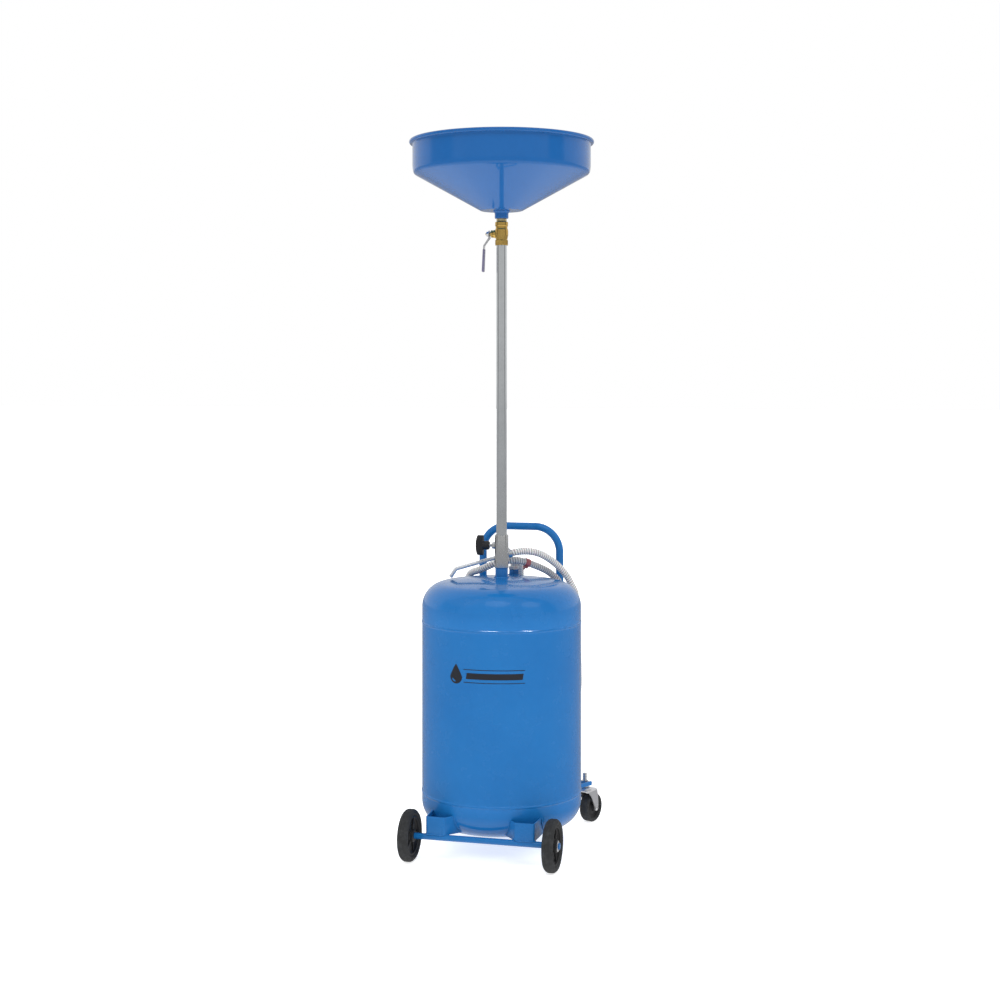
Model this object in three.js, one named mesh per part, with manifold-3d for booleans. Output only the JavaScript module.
// Mobile waste-oil drainer: a catch bowl on a telescoping column above a wheeled collecting tank.
// Millimetres, +Z up. Origin on the ground under the middle of the bounding box.
// The axle side (front) faces -Y; pieces named "right" are on +X.
// Shapes are written about the tank's axis, which stands FOOTPRINT_Y in front of that origin.
import * as THREE from 'three';
import { mergeVertices } from 'three/addons/utils/BufferGeometryUtils.js';
import Module from 'manifold-3d';

const wasm = await Module();
wasm.setup();

// ---------------------------------------------------------------- driving dimensions
const GAP = 0.3;                 // clearance left between neighbouring solids
const FOOTPRINT_Y = 23.7;        // from the tank's axis back to the middle of the bounding box

const TANK_R = 200;              // outer radius of the tank
const TANK_WALL = 3;
const TANK_LOW = 47;             // lowest point of the bottom head
const TANK_TOP = 671;            // apex of the top head
const SEAM_LOW = 140;            // girth weld, bottom head to shell
const SEAM_HIGH = 562;           // girth weld, shell to top head
const CROWN_R = 1000;            // crown radius of both dished heads
const KNUCKLE_R = 60;            // knuckle radius of both heads
const HEAD_HOLE_R = 14.5;        // column hole in the top head
const TANK_SEG = 40;

const TUBE_R = 13.45;            // lift tube
const TUBE_BORE = 10.8;          // every BORE is a radius
const TUBE_LOW = 681;
const TUBE_HIGH = 1521.5;
const SOCKET_R = 16;             // welded column socket
const SOCKET_BORE = 14.2;
const SOCKET_TOP = 696;
const SLEEVE_R = 17.65;          // guide sleeve
const SLEEVE_BORE = 15.3;
const SLEEVE_TOP = 779;
const CLAMP_Z = 751;             // axis of the clamp screw

const VALVE_Z = 1536;            // stem axis of the ball valve
const NIPPLE_TOP = 1574;
const BOWL_Z = 1594;             // underside of the bowl's flat bottom
const BOWL_R = 224.5;            // outer radius of the bowl wall
const BOWL_CORNER_Z = 1691;      // cone meets the upright wall
const BOWL_RIM_Z = 1771;
const BEAD_R = 5;                // rolled rim bead
const BOWL_WALL = 1.6;

const HANDLE_R = 10;
const HANDLE_X = 104;
const HANDLE_Y = 200;
const HANDLE_TOP = 783;
const HANDLE_BEND = 66;

const AXLE_R = 7.5;
const AXLE_Y = -200;
const WHEEL_R = 62.5;
const WHEEL_X = 178;
const WHEEL_W = 28.5;

const CASTOR_X = 162;
const CASTOR_Y = 243;
const CASTOR_R = 38;
const CASTOR_TRAIL = 30;
const CASTOR_TURN = -20;         // degrees, how the castors stand at rest

const DIP_Y = 124;               // outlet socket and dip tube
const HOSE_R = 9.3;
const HOSE_BORE = 6.8;

const SIDES = [[1, 'right'], [-1, 'left']];   // sign of x, name ending

// ---------------------------------------------------------------- materials
const material = (settings) => () =>
  new THREE.MeshStandardMaterial({ metalness: 0, ...settings });
const bluePaint = material({ color: 0x2f78bd, roughness: 0.3 });
const bowlPaint = material({ color: 0x2a68ab, roughness: 0.3 });
const zinc = material({ color: 0xb4b9bb, roughness: 0.35, metalness: 0.9 });
const steel = material({ color: 0x9aa1a6, roughness: 0.4, metalness: 0.9 });
const brass = material({ color: 0xb08a35, roughness: 0.35, metalness: 0.9 });
const blackPlastic = material({ color: 0x1b1c1e, roughness: 0.6 });
const rubber = material({ color: 0x2b2c2d, roughness: 0.85 });
const bushPlastic = material({ color: 0xe8e6df, roughness: 0.5 });
const seatPlastic = material({ color: 0xf2f2ee, roughness: 0.5 });
const hosePlastic = material({ color: 0xcfd0cf, roughness: 0.25 });
const redPlastic = material({ color: 0xb4565c, roughness: 0.45 });
const gripPlastic = material({ color: 0x5f5c95, roughness: 0.4 });

// ---------------------------------------------------------------- solids
// Welds the vertices, drops collapsed triangles and turns the faces outwards.
function clean(geometry) {
  let welded = geometry.clone();
  welded.deleteAttribute('normal');
  welded.deleteAttribute('uv');
  welded = mergeVertices(welded, 1e-3);
  const position = welded.getAttribute('position');
  const index = welded.getIndex().array;
  const corner = (k) => new THREE.Vector3().fromBufferAttribute(position, index[k]);
  const kept = [];
  let volume = 0;
  for (let k = 0; k < index.length; k += 3) {
    const [a, b, c] = [index[k], index[k + 1], index[k + 2]];
    if (a === b || b === c || a === c) continue;
    volume += corner(k).dot(corner(k + 1).cross(corner(k + 2)));
    kept.push(a, b, c);
  }
  if (volume < 0) {
    for (let k = 0; k < kept.length; k += 3) {
      [kept[k + 1], kept[k + 2]] = [kept[k + 2], kept[k + 1]];
    }
  }
  welded.setIndex(kept);
  return welded;
}
function toSolid(geometry) {
  const welded = clean(geometry);
  return new wasm.Manifold(new wasm.Mesh({
    numProp: 3,
    vertProperties: new Float32Array(welded.getAttribute('position').array),
    triVerts: new Uint32Array(welded.getIndex().array),
  }));
}
function fromSolid(solid) {
  const mesh = solid.getMesh();
  const geometry = new THREE.BufferGeometry();
  const vertices = new Float32Array(mesh.vertProperties);
  geometry.setAttribute('position', new THREE.BufferAttribute(vertices, 3));
  geometry.setIndex([...mesh.triVerts]);
  return geometry;
}
const join = (...parts) => fromSolid(parts.map(toSolid).reduce((sum, part) => sum.add(part)));
const cut = (blank, ...tools) =>
  fromSolid(tools.map(toSolid).reduce((rest, tool) => rest.subtract(tool), toSolid(blank)));
const common = (a, b) => fromSolid(toSolid(a).intersect(toSolid(b)));

// ---------------------------------------------------------------- shapes
// A turned part about +Z from [radius, z] pairs, with `seg` segments round.
function turn(points, seg = 24) {
  const outline = points.map(([r, z]) => new THREE.Vector2(r, z));
  return clean(new THREE.LatheGeometry(outline, seg).rotateX(Math.PI / 2));
}
const closed = (points) => [...points, points[0]];
const raise = (points, rise) => points.map(([r, z]) => [r, z + rise]);
// Completes half a turned outline with its mirror image in z = 0.
const bothSides = (half) => [...half, ...half.map(([r, z]) => [r, -z]).reverse()];
const ring = (bore, r, z0, z1, seg) => turn(closed([[bore, z0], [r, z0], [r, z1], [bore, z1]]), seg);
const disc = (r, z0, z1, seg) => turn([[0, z0], [r, z0], [r, z1], [0, z1]], seg);
// A hexagonal prism along +Z.
function hex(acrossFlats, z0, z1) {
  const r = acrossFlats / Math.sqrt(3);
  const prism = new THREE.CylinderGeometry(r, r, z1 - z0, 6, 1);
  return prism.rotateX(Math.PI / 2).translate(0, 0, (z0 + z1) / 2);
}
function box(x0, x1, y0, y1, z0, z1) {
  return new THREE.BoxGeometry(x1 - x0, y1 - y0, z1 - z0)
    .translate((x0 + x1) / 2, (y0 + y1) / 2, (z0 + z1) / 2);
}
// An [x, y] outline raised along +Z from z = 0.
function extrude(points, depth) {
  const shape = new THREE.Shape(points.map(([x, y]) => new THREE.Vector2(x, y)));
  return new THREE.ExtrudeGeometry(shape, { depth, bevelEnabled: false });
}
// A level plate whose outline is given for the +X side; side -1 mirrors it.
const plate = (points, z0, z1, side = 1) =>
  extrude(points.map(([x, y]) => [x * side, y]), z1 - z0).translate(0, 0, z0);

// Turn a part built along +Z to point another way.
const layLeft = (g) => g.rotateY(-Math.PI / 2);     // to -X
const layRight = (g) => g.rotateY(Math.PI / 2);     // to +X
const layRearward = (g) => g.rotateX(-Math.PI / 2); // to +Y

function circle(r, seg) {
  return Array.from({ length: seg }, (_, k) => {
    const angle = 2 * Math.PI * k / seg;
    return new THREE.Vector2(r * Math.cos(angle), r * Math.sin(angle));
  });
}
// A round section swept along a curve; without a bore it is solid.
function sweep(curve, { radius, bore, seg, steps }) {
  const section = new THREE.Shape(circle(radius, seg));
  if (bore) section.holes.push(new THREE.Path(circle(bore, seg)));
  const options = { steps, extrudePath: curve, bevelEnabled: false };
  return clean(new THREE.ExtrudeGeometry(section, options));
}
// Points along straight runs and round bends: [[start], [corner, bend radius], ..., [end]].
function bentPoints(nodes, arcSteps) {
  const stations = nodes.map(([at]) => new THREE.Vector3(...at));
  const points = [stations[0]];
  for (let k = 1; k < nodes.length - 1; k++) {
    const corner = stations[k];
    const radius = nodes[k][1];
    const before = stations[k - 1].clone().sub(corner).normalize();
    const after = stations[k + 1].clone().sub(corner).normalize();
    const half = before.angleTo(after) / 2;
    const setback = radius / Math.tan(half);
    const centre = before.clone().add(after).normalize()
      .multiplyScalar(radius / Math.sin(half)).add(corner);
    const first = corner.clone().addScaledVector(before, setback).sub(centre);
    const last = corner.clone().addScaledVector(after, setback).sub(centre);
    const angle = first.angleTo(last);
    for (let step = 0; step <= arcSteps; step++) {
      const t = step / arcSteps;
      points.push(centre.clone()
        .addScaledVector(first, Math.sin((1 - t) * angle) / Math.sin(angle))
        .addScaledVector(last, Math.sin(t * angle) / Math.sin(angle)));
    }
  }
  points.push(stations[stations.length - 1]);
  return points;
}
// A curve through given points, for sampling at exactly one step per point.
class ThroughPoints extends THREE.Curve {
  constructor(points) {
    super();
    this.points = points;
    this.runs = points.length - 1;
  }
  getPointAt(u) {
    return this.points[Math.round(u * this.runs)].clone();
  }
  // Halfway between the directions of the runs on either side; an end has only one.
  getTangentAt(u) {
    const k = Math.round(u * this.runs);
    const run = (j) => this.points[j + 1].clone().sub(this.points[j]).normalize();
    return run(Math.max(k - 1, 0)).add(run(Math.min(k, this.runs - 1))).normalize();
  }
}
function bentPipe(nodes, { arcSteps, ...section }) {
  const points = bentPoints(nodes, arcSteps);
  return sweep(new ThroughPoints(points), { ...section, steps: points.length - 1 });
}

// ---------------------------------------------------------------- scene
const root = new THREE.Group();
const machine = group(0, -FOOTPRINT_Y, 0, root);
function add(name, geometry, meshMaterial, parent = machine) {
  const mesh = new THREE.Mesh(geometry, meshMaterial);
  mesh.name = name;
  parent.add(mesh);
  return mesh;
}
function group(x, y, z, parent = machine) {
  const made = new THREE.Group();
  made.position.set(x, y, z);
  parent.add(made);
  return made;
}

// ---------------------------------------------------------------- tank
// Head outline as [radius, depth from the apex], `inset` inside the outer skin, running from
// the column hole to the shell. A whole head, without the hole, starts on the axis.
function headOutline(inset, whole) {
  const knuckleSteps = 4;
  const crownEnd = Math.asin((TANK_R - KNUCKLE_R) / (CROWN_R - KNUCKLE_R));
  const knuckleDepth = CROWN_R - (CROWN_R - KNUCKLE_R) * Math.cos(crownEnd);
  const holeEdge = Math.asin(HEAD_HOLE_R / CROWN_R);
  const crownR = CROWN_R - inset;
  const knuckleR = KNUCKLE_R - inset;
  const points = whole ? [[0, inset]] : [];
  for (const a of [holeEdge, holeEdge + (crownEnd - holeEdge) * 0.5, crownEnd]) {
    points.push([crownR * Math.sin(a), CROWN_R - crownR * Math.cos(a)]);
  }
  for (let k = 1; k <= knuckleSteps; k++) {
    const a = crownEnd + (Math.PI / 2 - crownEnd) * k / knuckleSteps;
    points.push([
      TANK_R - KNUCKLE_R + knuckleR * Math.sin(a),
      knuckleDepth - knuckleR * Math.cos(a),
    ]);
  }
  return points;
}
const belowTop = ([r, depth]) => [r, TANK_TOP - depth];
const aboveLow = ([r, depth]) => [r, TANK_LOW + depth];
function headSection(place, mouthZ, whole) {
  return [
    ...headOutline(0, whole).map(place),
    [TANK_R, mouthZ],
    [TANK_R - TANK_WALL, mouthZ],
    ...headOutline(TANK_WALL, whole).map(place).reverse(),
  ];
}
// The tank's whole outside, slightly grown and moved by x, y, z; trims what is welded on to it.
function tankEnvelope(x = 0, y = 0, z = 0) {
  const outline = headOutline(-(GAP + 0.1), true);
  const section = [...outline.map(aboveLow), ...outline.map(belowTop).reverse()];
  return turn(section, TANK_SEG).translate(x, y, z);
}
const topSection = closed(headSection(belowTop, SEAM_HIGH + GAP / 2, false));
const dipHole = disc(9.4, 600, 700, 16).translate(0, DIP_Y, 0);
add('tank_top_head', cut(turn(topSection, TANK_SEG), dipHole), bluePaint());
add('tank_shell',
  ring(TANK_R - TANK_WALL, TANK_R, SEAM_LOW + GAP / 2, SEAM_HIGH - GAP / 2, TANK_SEG), bluePaint());
const lowSection = headSection(aboveLow, SEAM_LOW - GAP / 2, true);
add('tank_bottom_head', turn(lowSection, TANK_SEG), bluePaint());

// ---------------------------------------------------------------- column foot
const STUD_R = 3.9;
const STUD_HOLE_R = 4.3;
const STUD_END = 47;               // distances along the screw are from the column's axis
const PAD_END = TUBE_R + 2.6;

add('column_socket', cut(ring(SOCKET_BORE, SOCKET_R, 660, SOCKET_TOP), tankEnvelope()), bluePaint());
const sleeveHole = layLeft(disc(STUD_HOLE_R, 0, 60, 12)).translate(0, 0, CLAMP_Z);
add('column_sleeve',
  cut(ring(SLEEVE_BORE, SLEEVE_R, SOCKET_TOP + GAP, SLEEVE_TOP), sleeveHole), zinc());
add('column_guide_bush',
  ring(TUBE_R + GAP, SLEEVE_BORE - 0.35, SOCKET_TOP + 2, CLAMP_Z - 12), bushPlastic());

// Clamp screw, pointing to -X.
const clampAt = group(0, 0, CLAMP_Z);
function weldNut() {
  const nut = cut(hex(15, SLEEVE_R - 1.5, SLEEVE_R + 6.5), disc(STUD_HOLE_R, 0, 60, 12));
  return cut(layLeft(nut), disc(SLEEVE_R + GAP, -20, 20));
}
add('sleeve_weld_nut', weldNut(), zinc(), clampAt);
add('clamp_pad', layLeft(disc(STUD_R, TUBE_R + GAP, PAD_END, 12)), brass(), clampAt);
add('clamp_stud', layLeft(disc(STUD_R, PAD_END + GAP, STUD_END, 12)), zinc(), clampAt);

// Wing outline: Bezier rows of control x, y, control x, y, end x, y.
const WING_START = [-8.5, 0];
const WING_CURVES = [
  [-9, 8, -8.5, 17, -6.5, 22.3],
  [-4, 26.5, 4, 26.5, 6.5, 22.3],
  [8.5, 17, 9, 8, 8.5, 0],
  [9, -8, 8.5, -17, 6.5, -22.3],
  [4, -26.5, -4, -26.5, -6.5, -22.3],
  [-8.5, -17, -9, -8, -8.5, 0],
];
const WING_BASE = 47.5;
const WING_DEPTH = 19;
const DOME = { radius: 60, flatten: 0.75, top: 66.5 };
const KNOB_HUB = [[0, 31.5], [9.5, 31.5], [12, 34], [11, 44], [11, 50], [0, 50]];   // [r, z]
// A hub carrying two lobes with a domed outer face.
function clampKnob() {
  const shape = new THREE.Shape();
  shape.moveTo(...WING_START);
  for (const curve of WING_CURVES) shape.bezierCurveTo(...curve);
  const options = { depth: WING_DEPTH, bevelEnabled: false, curveSegments: 3 };
  const lobes = new THREE.ExtrudeGeometry(shape, options)
    .rotateZ(Math.PI / 2)
    .translate(0, 0, WING_BASE);
  const dome = new THREE.SphereGeometry(DOME.radius, 24, 16)
    .scale(1, 1, DOME.flatten)
    .translate(0, 0, DOME.top - DOME.radius * DOME.flatten);
  const knob = join(turn(KNOB_HUB, 16), common(lobes, dome));
  return layLeft(cut(knob, disc(4.2, 30, STUD_END + 0.4, 12)));
}
add('clamp_knob', clampKnob(), blackPlastic(), clampAt);

// ---------------------------------------------------------------- outlet
const DIP_SOCKET_TOP = 678;
const ELBOW_Z = 692;               // axis of the elbow's horizontal arm
const ELBOW_BORE = 3.8;
const ELBOW_BODY = [[0, 680], [9.5, 680], [9.5, 696], [7, 700], [0, 701]];   // [r, z]

const outlet = group(0, DIP_Y, 0);
add('dip_tube_socket',
  cut(ring(9.2, 12.5, 655, DIP_SOCKET_TOP, 20), tankEnvelope(0, -DIP_Y, 0)), bluePaint(), outlet);
add('dip_tube', ring(6.2, 8.6, 62, 676, 16), steel(), outlet);
function outletElbow() {
  const rearArm = (g) => layRearward(g).translate(0, 0, ELBOW_Z);
  const nut = hex(26, DIP_SOCKET_TOP + GAP, 686);
  const spigot = rearArm(disc(5.3, 0, 38, 12));
  const uprightBore = disc(ELBOW_BORE, 660, ELBOW_Z, 10);
  const levelBore = rearArm(disc(ELBOW_BORE, -1, 60, 10));
  return cut(join(nut, turn(ELBOW_BODY, 16), spigot), uprightBore, levelBore);
}
add('outlet_elbow', outletElbow(), zinc(), outlet);

// Hose centre line, [x, y, z] from the elbow to the spout.
const HOSE_PATH = [
  [0, 145, ELBOW_Z], [0, 158, ELBOW_Z], [0, 171, 691.8], [-1, 190, 684], [-4, 209, 660],
  [-8, 225, 622], [-12, 234, 565], [-16, 240, 490], [-36, 246, 405], [-80, 250, 352],
  [-124, 240, 372], [-151, 220, 440], [-158, 197, 520], [-152, 178, 572], [-145.6, 168, 602],
  [-138.1, 159.7, 632], [-126.5, 144.2, 655], [-110.2, 117.4, 668], [-92.8, 91, 674.4],
  [-72.4, 75.8, 682], [-54.3, 68.2, 690], [-38.1, 67.4, 697], [-18, 69.5, 703], [1, 74.8, 706],
  [16.1, 83, 706], [31.4, 95.4, 702.2], [48.6, 111.4, 694.2], [65.6, 129.4, 684.8],
  [82.6, 146.4, 673.4], [95.4, 160.2, 660.6], [105.6, 168.2, 648], [112.6, 174.8, 630],
  [119.5, 182.5, 605], [124.2, 189.6, 575], [121, 204, 520], [112, 222, 450], [106, 236, 385],
  [110, 248, 340], [126, 250, 318], [142, 245, 345], [146, 238, 410], [145, 226, 490],
  [147.4, 206, 560], [149.4, 185, 600], [150.6, 173.6, 618], [143.6, 164.8, 637],
  [134.6, 156.2, 658.4], [120.4, 144.1, 679.8], [106.5, 130, 696.4], [90.8, 112.3, 712],
  [74.1, 94.4, 723.6], [56.3, 80.3, 729.4], [38.1, 69.2, 730.8], [19.6, 57.1, 729],
  [0.9, 50.1, 723.7], [-11, 45.6, 720.3],
];
const hoseStations = HOSE_PATH.map((point) => new THREE.Vector3(...point));
const hoseCurve = new THREE.CatmullRomCurve3(hoseStations, false, 'centripetal');
const hose = sweep(hoseCurve, { radius: HOSE_R, bore: HOSE_BORE, seg: 6, steps: 70 });
add('discharge_hose', hose, hosePlastic());

// A ring with its screw housing; `roll` (radians) sets where round the hose the housing sits.
function bandClamp(name, { at, along, roll, finish }) {
  const band = ring(HOSE_R + 0.8, HOSE_R + 1.8, -4.5, 4.5, 14);
  const housing = box(HOSE_R + 1.3, HOSE_R + 6.5, -5.5, 5.5, -3.5, 3.5);
  const mesh = add(name, join(band, housing).rotateZ(roll), finish());
  const direction = new THREE.Vector3(...along).normalize();
  mesh.position.set(...at);
  mesh.quaternion.setFromUnitVectors(new THREE.Vector3(0, 0, 1), direction);
}
bandClamp('hose_clamp_inlet',
  { at: [0, 153.5, ELBOW_Z], along: [0, 1, 0], roll: Math.PI / 2, finish: zinc });
bandClamp('hose_clamp_middle',
  { at: [40, 103.3, 698.6], along: [17.2, 16, -8], roll: 0.78, finish: redPlastic });
bandClamp('hose_clamp_spout',
  { at: [8, 52.7, 725.7], along: [12.6, 4.7, 3.6], roll: 2.4, finish: zinc });

// Bent delivery spout: one end in the hose, the tip resting over the tank's dome.
const SPOUT_PATH = [[[9, 53.1, 726]], [[-121.5, 4.6, 688.4], 11], [[-134.4, 0.5, 667.6]]];
add('spout_tube', bentPipe(SPOUT_PATH, { radius: 5, bore: 3.7, seg: 8, arcSteps: 5 }), steel());

// ---------------------------------------------------------------- handle
const HANDLE_FOOT = { y: 180, z: 568, cornerZ: 588, bend: 16 };
const handleFoot = (x) => [[x, HANDLE_FOOT.y, HANDLE_FOOT.z]];
const handleCrank = (x) => [[x, HANDLE_Y, HANDLE_FOOT.cornerZ], HANDLE_FOOT.bend];
const handleCorner = (x) => [[x, HANDLE_Y, HANDLE_TOP], HANDLE_BEND];
const handlePath = [
  handleFoot(-HANDLE_X), handleCrank(-HANDLE_X), handleCorner(-HANDLE_X),
  handleCorner(HANDLE_X), handleCrank(HANDLE_X), handleFoot(HANDLE_X),
];
add('handle_tube', bentPipe(handlePath, { radius: HANDLE_R, seg: 9, arcSteps: 5 }), bluePaint());

// ---------------------------------------------------------------- air fitting, relief valve
const FITTING_X = 52;
const AIR_Z = 470;
const RELIEF_Z = 590;
// Turned outlines, [radius, distance behind the tank's axis].
const AIR_NIPPLE = [
  [0, 205], [7.5, 205], [7.5, 216], [4.9, 218], [4.9, 226],
  [6.2, 228], [6.2, 234.8], [5.6, 236], [0, 236],
];
const RELIEF_BODY = [
  [0, 200], [6, 200], [6, 214], [9, 216], [9, 234], [7, 236], [0, 236],
];
const airInlet = cut(
  join(hex(19, TANK_R + 0.4, TANK_R + 10), turn(AIR_NIPPLE, 16)),
  disc(2.6, 190, 240, 8),
);
add('air_inlet_nipple', layRearward(airInlet), brass(), group(FITTING_X, 0, AIR_Z));

const reliefAt = group(-FITTING_X, 0, RELIEF_Z);
const reliefBody = cut(
  join(hex(17, TANK_R + 8.8, TANK_R + 18), turn(RELIEF_BODY, 16)),
  disc(2.3, 195, 240, 8),
  tankEnvelope(FITTING_X, 0, -RELIEF_Z).rotateX(Math.PI / 2),
);
add('relief_valve_body', layRearward(reliefBody), brass(), reliefAt);
// Pull ring on its spindle.
const pullRing = new THREE.TorusGeometry(8, 1.1, 6, 16)
  .rotateX(Math.PI / 2)
  .translate(0, 0, 246.5);
add('relief_valve_ring', layRearward(join(disc(1.9, 205, 239, 8), pullRing)), zinc(), reliefAt);

// ---------------------------------------------------------------- front axle, brackets, wheels
const AXLE_END = WHEEL_X + 19;
const axle = layRight(disc(AXLE_R, -AXLE_END, AXLE_END, 16)).translate(0, AXLE_Y, WHEEL_R);
add('front_axle', axle, bluePaint());

const BRACKET_FRONT = AXLE_Y - 6;
const BRACKET_INNER = BRACKET_FRONT + 3;   // back of the 3 mm front web
// Folded channel open to the rear, [x, y] on the +X side: outside, then back along the inside.
const BRACKET_OUTLINE = [
  [52.7, -166], [87.2, BRACKET_FRONT], [135.2, BRACKET_FRONT], [138.9, -100],
  [135.9, -100], [132.3, BRACKET_INNER], [89, BRACKET_INNER], [55.3, -164],
];
for (const [side, label] of SIDES) {
  const channel = plate(BRACKET_OUTLINE, WHEEL_R + AXLE_R + GAP, 112.5, side);
  add('front_bracket_' + label, cut(channel, tankEnvelope()), bluePaint());
}

// Wheel outlines, [radius, distance along the axle from the wheel's middle], one half each.
const HALF_W = WHEEL_W / 2;
const TYRE_HALF = [
  [47.4, -HALF_W + 4.4], [51.5, -HALF_W + 1], [56.5, -HALF_W],
  [60.5, -HALF_W + 3.5], [WHEEL_R, -HALF_W + 8],
];
const HUB_HALF = [
  [AXLE_R + 0.4, -HALF_W + 1], [15, -HALF_W + 1], [15, -HALF_W + 7],
  [42.4, -3], [42.4, -HALF_W + 4.4], [47, -HALF_W + 4.4],
];
for (const [side, label] of SIDES) {
  const wheelAt = group(side * WHEEL_X, AXLE_Y, WHEEL_R);
  const part = (half) => layRight(turn(closed(bothSides(half)), 20));
  add('front_tyre_' + label, part(TYRE_HALF), rubber(), wheelAt);
  add('front_hub_' + label, part(HUB_HALF), blackPlastic(), wheelAt);
  const washer = ring(AXLE_R + 0.45, 13, HALF_W - 0.6, HALF_W + 1.4, 16);
  add('axle_washer_' + label, washer.rotateY(side * Math.PI / 2), zinc(), wheelAt);
}

// ---------------------------------------------------------------- rear arms
const ARM_LOW = 103;
const ARM_PLATE_TOP = 107;
const ARM_EDGE_TOP = 114.5;
// Outlines on the +X side, [x, y].
const ARM_PLATE = [
  [70, 150], [118, 120], [CASTOR_X + 20, CASTOR_Y - 6],
  [CASTOR_X + 16, CASTOR_Y + 20], [CASTOR_X - 20, CASTOR_Y + 20],
];
const ARM_OUTER_EDGE = [
  [118, 120], [CASTOR_X + 20, CASTOR_Y - 6], [CASTOR_X + 17, CASTOR_Y - 5.2], [115, 122],
];
const ARM_INNER_EDGE = [
  [70, 150], [CASTOR_X - 20, CASTOR_Y + 20], [CASTOR_X - 17, CASTOR_Y + 18.6], [73, 148.4],
];
function rearArm(side) {
  const stemHole = disc(6.5, 90, 120, 14).translate(side * CASTOR_X, CASTOR_Y, 0);
  const arm = join(
    plate(ARM_PLATE, ARM_LOW, ARM_PLATE_TOP, side),
    plate(ARM_OUTER_EDGE, ARM_LOW, ARM_EDGE_TOP, side),
    plate(ARM_INNER_EDGE, ARM_LOW, ARM_EDGE_TOP, side),
  );
  return cut(arm, tankEnvelope(), stemHole);
}
for (const [side, label] of SIDES) add('castor_arm_' + label, rearArm(side), bluePaint());

// ---------------------------------------------------------------- castors
const FORK_LOW = 86.5;
const FORK_TOP = 89.5;
const FORK_THICK = 3;
const FORK_HALF_W = 18.5;
const FORK_CROWN = [[-18, -15], [18, -15], [20, 12], [16, 34], [-16, 34], [-20, 12]];   // [x, y]
// Side view of a fork leg, [y, z].
const FORK_LEG = [
  [-14, FORK_TOP], [31, FORK_TOP], [38, 56], [38, 38], [34, 29.5], [26, 29.5], [21, 38], [4, 72],
];
// Turned halves, [radius, distance along the pin from the wheel's middle].
const RIVET_HALF = [[0, -22], [4, -21.6], [6.5, -19], [3.9, -18.9]];
const CASTOR_TYRE_HALF = [[28.5, -10], [31, -13], [35, -13], [CASTOR_R, -9]];
const CASTOR_HUB_HALF = [
  [4.25, -14.5], [10, -14.5], [11, -8], [23, -5], [25, -10], [28, -10],
];
function castorFork() {
  // Stands the side view up with its thickness along +X from x.
  const leg = (x) => extrude(FORK_LEG, FORK_THICK)
    .rotateY(Math.PI / 2)
    .rotateX(Math.PI / 2)
    .translate(x, 0, 0);
  const fork = join(
    plate(FORK_CROWN, FORK_LOW, FORK_TOP),
    ring(10.4, 17.5, FORK_LOW, 95.9, 20),
    leg(FORK_HALF_W - FORK_THICK),
    leg(-FORK_HALF_W),
  );
  const pinHole = layRight(disc(4.3, -30, 30, 12)).translate(0, CASTOR_TRAIL, CASTOR_R);
  return cut(fork, pinHole, disc(6.4, 80, 100, 14));
}
function castor(side, label) {
  const fixed = group(side * CASTOR_X, CASTOR_Y, 0);
  const stem = join(disc(6, 92, 133, 14), disc(10, 96.3, ARM_LOW - GAP, 18));
  add('castor_stem_' + label, stem, zinc(), fixed);
  const nut = cut(hex(19, ARM_PLATE_TOP + GAP, 114), disc(6.3, 90, 130, 14));
  add('castor_stem_nut_' + label, nut, zinc(), fixed);
  // Everything below turns with the fork.
  const turning = group(side * CASTOR_X, CASTOR_Y, 0);
  turning.rotation.z = CASTOR_TURN * Math.PI / 180;
  add('castor_fork_' + label, castorFork(), zinc(), turning);
  const wheelAt = group(0, CASTOR_TRAIL, CASTOR_R, turning);
  const part = (half) => layRight(turn(closed(bothSides(half)), 16));
  add('castor_rivet_' + label, layRight(turn(bothSides(RIVET_HALF), 14)), zinc(), wheelAt);
  add('castor_tyre_' + label, part(CASTOR_TYRE_HALF), rubber(), wheelAt);
  add('castor_hub_' + label, part(CASTOR_HUB_HALF), blackPlastic(), wheelAt);
}
for (const [side, label] of SIDES) castor(side, label);

// ---------------------------------------------------------------- lift tube, ball valve
add('lift_tube', ring(TUBE_BORE, TUBE_R, TUBE_LOW, TUBE_HIGH), zinc());

// Valve heights are from the stem axis; the stem points to -X.
const VALVE_LOW = -29;
const VALVE_HIGH = 30;
const VALVE_BORE_HIGH = 12;        // floor of the upper socket
const VALVE_OUTSIDE = [
  [0, VALVE_LOW + 12], [14.6, VALVE_LOW + 12], [15.2, -8], [16.6, 0], [16.6, 10],
  [14.9, 15], [16.4, 17], [16.4, VALVE_HIGH], [0, VALVE_HIGH],
];
const VALVE_INSIDE = [
  [0, -36], [13.75, -36], [13.75, -14], [9, -13.5], [9, -10.7], [12.1, -10.7],
  [12.1, 10.7], [9, 10.7], [9, VALVE_BORE_HIGH], [13.5, VALVE_BORE_HIGH], [13.5, 34], [0, 34],
];
function valveBody() {
  const onStem = (g) => layLeft(g).translate(0, 0, VALVE_Z);
  const body = join(
    turn(raise(VALVE_OUTSIDE, VALVE_Z), 20),
    hex(32, VALVE_Z + VALVE_LOW, VALVE_Z + VALVE_LOW + 13),
    onStem(disc(10.2, 5, 20.5, 16)),
  );
  return cut(
    body,
    turn(raise(VALVE_INSIDE, VALVE_Z), 20),
    onStem(disc(5.3, 6, 60, 14)),
    onStem(disc(8.4, 18.6, 60, 16)),
  );
}
add('valve_body', valveBody(), brass());
const SEAT = { bore: 8.2, radius: 11.8, near: 8.4, far: 10.4 };
const seat = (z0, z1) => ring(SEAT.bore, SEAT.radius, VALVE_Z + z0, VALVE_Z + z1, 20);
add('valve_seat_lower', seat(-SEAT.far, -SEAT.near), seatPlastic());
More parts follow.
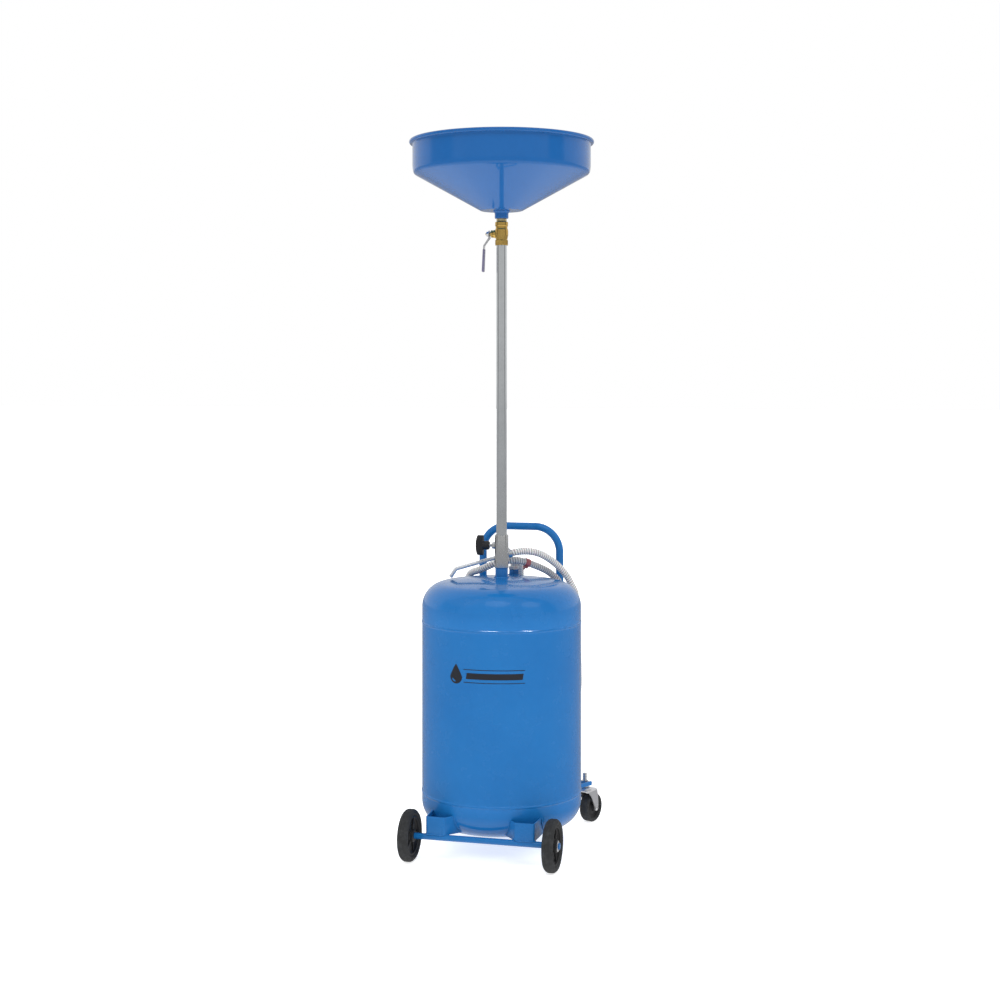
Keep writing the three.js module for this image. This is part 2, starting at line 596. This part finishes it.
add('valve_seat_upper', seat(SEAT.near, SEAT.far), seatPlastic());

const stemAt = group(0, 0, VALVE_Z);
const BALL_FLAT = 8.1;
// Bored upright, flattened above and below, slotted on -X for the stem.
function valveBall() {
  return cut(
    new THREE.SphereGeometry(11.7, 16, 12).rotateX(Math.PI / 2),
    disc(7.5, -20, 20, 16),
    box(-14, -9.6, -1.6, 1.6, -5, 5),
    disc(20, BALL_FLAT, 20, 12),
    disc(20, -20, -BALL_FLAT, 12),
  );
}
add('valve_ball', valveBall(), zinc(), stemAt);
const stemTongue = box(-4.4, 4.4, -1.3, 1.3, 10.2, 12.5);
const valveStem = join(disc(5, 11.9, 30, 14), disc(3, 29, 41.5, 10), stemTongue);
add('valve_stem', layLeft(valveStem), brass(), stemAt);
const glandNut = cut(join(disc(8.1, 19, 23, 16), hex(17, 22, 27)), disc(5.3, 10, 40, 14));
add('valve_gland_nut', layLeft(glandNut), brass(), stemAt);

// Cranked flat lever and its grip: side views, [distance out to -X, z from the stem axis].
const LEVER = [
  [30.4, 9], [32.9, 9], [32.9, -9.5], [46.6, -28],
  [49.4, -92], [46.9, -92], [44.1, -29.2], [30.4, -10.7],
];
const GRIP = [[43, -38], [48.3, -38], [50.75, -96], [45.5, -96]];
const GRIP_HOLLOW = [
  [43.4, -20], [46.5, -20], [47.3, -36], [49.75, -92.3], [46.55, -92.3], [43.5, -30],
];
const sideView = (points, width) => extrude(points, width)
  .translate(0, 0, -width / 2)
  .rotateX(Math.PI / 2)
  .rotateZ(Math.PI);
const leverHole = () => disc(3.3, 20, 60, 10);
add('valve_lever', cut(sideView(LEVER, 12), layLeft(leverHole())), zinc(), stemAt);
add('lever_grip', cut(sideView(GRIP, 14.6), sideView(GRIP_HOLLOW, 12.8)), gripPlastic(), stemAt);
add('lever_nut', layLeft(cut(hex(11, 33.3, 38.8), leverHole())), zinc(), stemAt);

// ---------------------------------------------------------------- bowl
const DRAIN_R = 10;
add('bowl_nipple', ring(DRAIN_R, 13, VALVE_Z + VALVE_BORE_HIGH + GAP, NIPPLE_TOP, 20), brass());
const neckSection = closed([
  [DRAIN_R, NIPPLE_TOP + GAP], [17.4, NIPPLE_TOP + GAP], [17.4, BOWL_Z - 6],
  [22, BOWL_Z - GAP], [DRAIN_R, BOWL_Z - GAP],
]);
add('bowl_neck', turn(neckSection), bowlPaint());

// Rim bead, [r, z], from below the wall's top round the outside to its inner face.
function beadPoints() {
  const centreR = BOWL_R - BOWL_WALL + BEAD_R;
  const centreZ = BOWL_RIM_Z - BEAD_R;
  return Array.from({ length: 7 }, (_, k) => {
    const a = (-120 + k * 50) * Math.PI / 180;
    return [centreR + BEAD_R * Math.cos(a), centreZ + BEAD_R * Math.sin(a)];
  });
}
const bowlSection = closed([
  [DRAIN_R, BOWL_Z], [53, BOWL_Z],
  [217.5, BOWL_CORNER_Z - 6], [223, BOWL_CORNER_Z - 0.4], [BOWL_R, BOWL_CORNER_Z + 6],
  [BOWL_R, BOWL_RIM_Z - 14], ...beadPoints(), [BOWL_R - BOWL_WALL, BOWL_CORNER_Z + 6.6],
  [221.6, BOWL_CORNER_Z + 0.6], [216.7, BOWL_CORNER_Z - 4.6],
  [52.4, BOWL_Z + BOWL_WALL], [DRAIN_R, BOWL_Z + BOWL_WALL],
]);
add('bowl', turn(bowlSection, TANK_SEG), bowlPaint());

// Perforated strainer disc over the drain: [radius, height above BOWL_Z].
const STRAINER = [[0, 9.6], [62, 9.6], [66, 11.8], [66, 13], [61.6, 10.8], [0, 10.8]];
const PERFORATIONS = [[1, 0], [6, 32]];   // [holes, pitch radius]
const strainerHoles = PERFORATIONS.flatMap(([count, pitchR]) => circle(pitchR, count).map(
  ({ x, y }) => disc(7, BOWL_Z, BOWL_Z + 30, 6).translate(x, y, 0)));
add('bowl_strainer', cut(turn(raise(STRAINER, BOWL_Z)), ...strainerHoles), zinc());

export default root;
